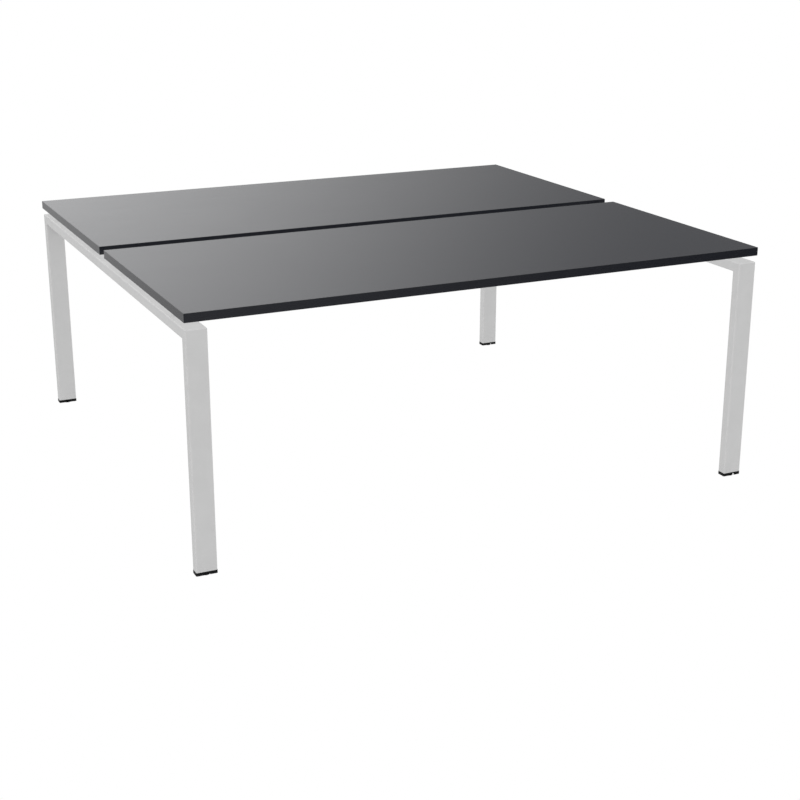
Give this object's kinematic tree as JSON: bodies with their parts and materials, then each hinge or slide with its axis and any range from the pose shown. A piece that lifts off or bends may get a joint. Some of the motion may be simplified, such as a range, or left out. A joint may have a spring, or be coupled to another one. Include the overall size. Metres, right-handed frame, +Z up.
{
  "type": "benching desk for two",
  "caption": "Bench desk for two people: two facing dark work tops with a cable slot between them, on two welded goal-post end frames with levelling feet.",
  "frame": {"origin": "on the floor, under the middle of the desk", "axes": "+X along the length of the tops, +Y across from the near place to the far place, +Z up"},
  "size_m": [1.8, 1.652, 0.736],
  "materials": {
    "faced_board": "dark anthracite melamine facing, satin, on chipboard",
    "edge_band": "dark anthracite plastic edge band, satin",
    "coated_steel": "light grey satin powder coat",
    "zinc_steel": "bright zinc plate",
    "black_plastic": "black moulded plastic, fine grain",
    "black_steel": "black oxide"
  },
  "bodies": {
    "desk": {"near_top_board": "faced_board", "near_edge_band": "edge_band", "far_top_board": "faced_board", "far_edge_band": "edge_band", "left_front_leg": "coated_steel", "left_back_leg": "coated_steel", "left_rail": "coated_steel", "right_front_leg": "coated_steel", "right_back_leg": "coated_steel", "right_rail": "coated_steel", "near_beam": "coated_steel", "near_left_end_plate": "coated_steel", "near_left_plate_bolt_front": "zinc_steel", "near_left_plate_bolt_back": "zinc_steel", "near_right_end_plate": "coated_steel", "near_right_plate_bolt_front": "zinc_steel", "near_right_plate_bolt_back": "zinc_steel", "far_beam": "coated_steel", "far_left_end_plate": "coated_steel", "far_left_plate_bolt_front": "zinc_steel", "far_left_plate_bolt_back": "zinc_steel", "far_right_end_plate": "coated_steel", "far_right_plate_bolt_front": "zinc_steel", "far_right_plate_bolt_back": "zinc_steel", "near_left_front_spacer": "coated_steel", "near_left_front_screw": "zinc_steel", "near_left_back_spacer": "coated_steel", "near_left_back_screw": "zinc_steel", "near_right_front_spacer": "coated_steel", "near_right_front_screw": "zinc_steel", "near_right_back_spacer": "coated_steel", "near_right_back_screw": "zinc_steel", "near_beam_left_spacer": "coated_steel", "near_beam_left_screw": "zinc_steel", "near_beam_right_spacer": "coated_steel", "near_beam_right_screw": "zinc_steel", "far_left_front_spacer": "coated_steel", "far_left_front_screw": "zinc_steel", "far_left_back_spacer": "coated_steel", "far_left_back_screw": "zinc_steel", "far_right_front_spacer": "coated_steel", "far_right_front_screw": "zinc_steel", "far_right_back_spacer": "coated_steel", "far_right_back_screw": "zinc_steel", "far_beam_left_spacer": "coated_steel", "far_beam_left_screw": "zinc_steel", "far_beam_right_spacer": "coated_steel", "far_beam_right_screw": "zinc_steel", "left_front_foot_cap": "black_plastic", "left_back_foot_cap": "black_plastic", "right_front_foot_cap": "black_plastic", "right_back_foot_cap": "black_plastic"},
    "left_front_pad": {"left_front_glide_pad": "black_plastic"},
    "left_front_stem": {"left_front_glide_stem": "black_steel"},
    "left_back_pad": {"left_back_glide_pad": "black_plastic"},
    "left_back_stem": {"left_back_glide_stem": "black_steel"},
    "right_front_pad": {"right_front_glide_pad": "black_plastic"},
    "right_front_stem": {"right_front_glide_stem": "black_steel"},
    "right_back_pad": {"right_back_glide_pad": "black_plastic"},
    "right_back_stem": {"right_back_glide_stem": "black_steel"}
  },
  "joints": [
    {"name": "left_front_foot_lift", "type": "slide", "parent": "desk", "child": "left_front_pad", "axis": [0, 0, -1], "range_m": [0, 0.015]},
    {"name": "left_front_foot_turn", "type": "hinge", "parent": "left_front_pad", "child": "left_front_stem", "pos_m": [-0.8675, -0.8075, 0], "axis": [0, 0, -1], "range_deg": [0, 4320]},
    {"name": "left_back_foot_lift", "type": "slide", "parent": "desk", "child": "left_back_pad", "axis": [0, 0, -1], "range_m": [0, 0.015]},
    {"name": "left_back_foot_turn", "type": "hinge", "parent": "left_back_pad", "child": "left_back_stem", "pos_m": [-0.8675, 0.8075, 0], "axis": [0, 0, -1], "range_deg": [0, 4320]},
    {"name": "right_front_foot_lift", "type": "slide", "parent": "desk", "child": "right_front_pad", "axis": [0, 0, -1], "range_m": [0, 0.015]},
    {"name": "right_front_foot_turn", "type": "hinge", "parent": "right_front_pad", "child": "right_front_stem", "pos_m": [0.8675, -0.8075, 0], "axis": [0, 0, -1], "range_deg": [0, 4320]},
    {"name": "right_back_foot_lift", "type": "slide", "parent": "desk", "child": "right_back_pad", "axis": [0, 0, -1], "range_m": [0, 0.015]},
    {"name": "right_back_foot_turn", "type": "hinge", "parent": "right_back_pad", "child": "right_back_stem", "pos_m": [0.8675, 0.8075, 0], "axis": [0, 0, -1], "range_deg": [0, 4320]}
  ],
  "couplings": [
    {"joint": "left_front_foot_lift", "follows": "left_front_foot_turn", "m_per_rad": 0.00019894},
    {"joint": "left_back_foot_lift", "follows": "left_back_foot_turn", "m_per_rad": 0.00019894},
    {"joint": "right_front_foot_lift", "follows": "right_front_foot_turn", "m_per_rad": 0.00019894},
    {"joint": "right_back_foot_lift", "follows": "right_back_foot_turn", "m_per_rad": 0.00019894}
  ]
}
